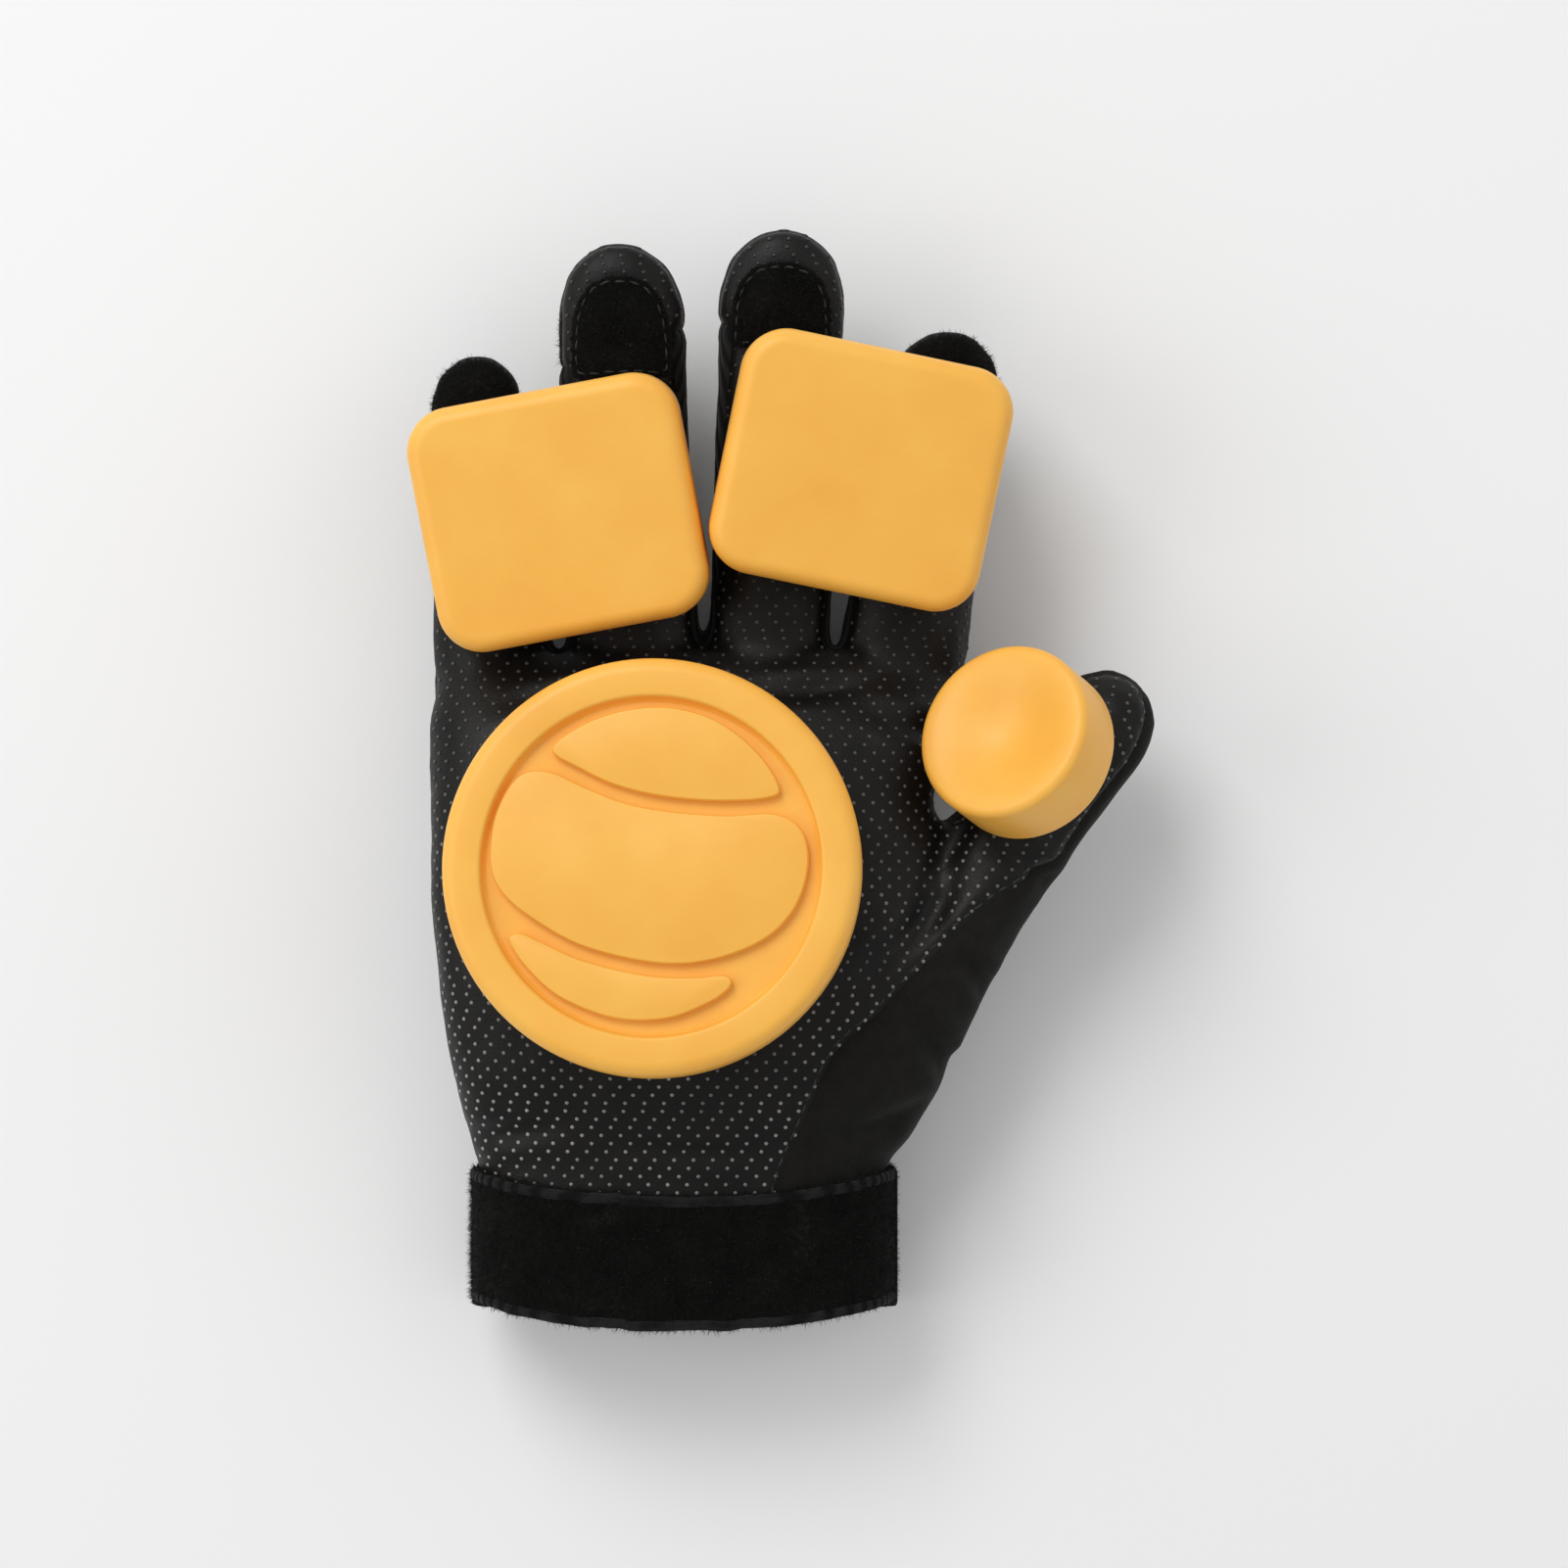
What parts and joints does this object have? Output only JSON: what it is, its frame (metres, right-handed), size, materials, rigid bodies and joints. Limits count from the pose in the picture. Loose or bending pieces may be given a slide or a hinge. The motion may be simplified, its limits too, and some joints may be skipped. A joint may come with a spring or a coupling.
{
  "type": "longboard slide glove",
  "caption": "Full-finger right-hand slide glove lying palm up, with slide pucks on palm, fingers and thumb, a moulded knuckle guard and a wrist strap.",
  "frame": {"origin": "middle of the bounding box, on the surface that the glove lies on", "axes": "+X to the thumb's side, +Y to the fingertips, +Z out of the palm"},
  "size_m": [0.1626, 0.2424, 0.071],
  "materials": {
    "leather_dotted": "dull, with raised dots",
    "mesh_fabric": "fine mesh",
    "knit": "ribbed knit",
    "side_cloth": "matt",
    "loop_fabric": "fuzzy loop",
    "webbing": "ribbed elastic",
    "moulded_rubber": "satin",
    "suede": "napped",
    "grey_gem": "gloss",
    "yellow_dot": "satin",
    "white_inlay": "satin",
    "red_inlay": "satin",
    "slide_plastic": "satin"
  },
  "bodies": {
    "root": {"back_panel": "mesh_fabric", "cuff_band": "loop_fabric", "finger_loop_pad_inner": "loop_fabric", "finger_loop_pad_outer": "loop_fabric", "finger_patch_index": "suede", "finger_patch_middle": "suede", "finger_patch_pinky": "suede", "finger_patch_ring": "suede", "finger_puck_inner": "slide_plastic", "finger_puck_outer": "slide_plastic", "fingertip_patch_middle": "suede", "fingertip_patch_ring": "suede", "fourchette_middle_index": "knit", "fourchette_pinky_ring": "knit", "fourchette_ring_middle": "knit", "guard_bar_red_inner": "red_inlay", "guard_bar_red_outer": "red_inlay", "guard_bar_white_inner": "white_inlay", "guard_bar_white_outer": "white_inlay", "guard_base": "moulded_rubber", "guard_dome": "moulded_rubber", "guard_inlay_1": "white_inlay", "guard_inlay_2": "white_inlay", "guard_inlay_3": "white_inlay", "guard_inlay_4": "white_inlay", "guard_stripe": "white_inlay", "knuckle_gem_index": "grey_gem", "knuckle_gem_middle": "grey_gem", "knuckle_gem_pinky": "grey_gem", "knuckle_gem_ring": "grey_gem", "knuckle_pad_index": "moulded_rubber", "knuckle_pad_middle": "moulded_rubber", "knuckle_pad_pinky": "moulded_rubber", "knuckle_pad_ring": "moulded_rubber", "palm_loop_pad": "loop_fabric", "palm_panel": "leather_dotted", "palm_puck": "slide_plastic", "patch_dot_index_1": "yellow_dot", "patch_dot_index_2": "yellow_dot", "patch_dot_index_3": "yellow_dot", "patch_dot_middle_1": "yellow_dot", "patch_dot_middle_2": "yellow_dot", "patch_dot_middle_3": "yellow_dot", "patch_dot_pinky_1": "yellow_dot", "patch_dot_pinky_2": "yellow_dot", "patch_dot_pinky_3": "yellow_dot", "patch_dot_ring_1": "yellow_dot", "patch_dot_ring_2": "yellow_dot", "patch_dot_ring_3": "yellow_dot", "strap_label": "moulded_rubber", "thumb_loop_pad": "loop_fabric", "thumb_puck": "slide_plastic", "thumb_side_panel": "side_cloth", "wrist_strap": "webbing"}
  },
  "joints": []
}
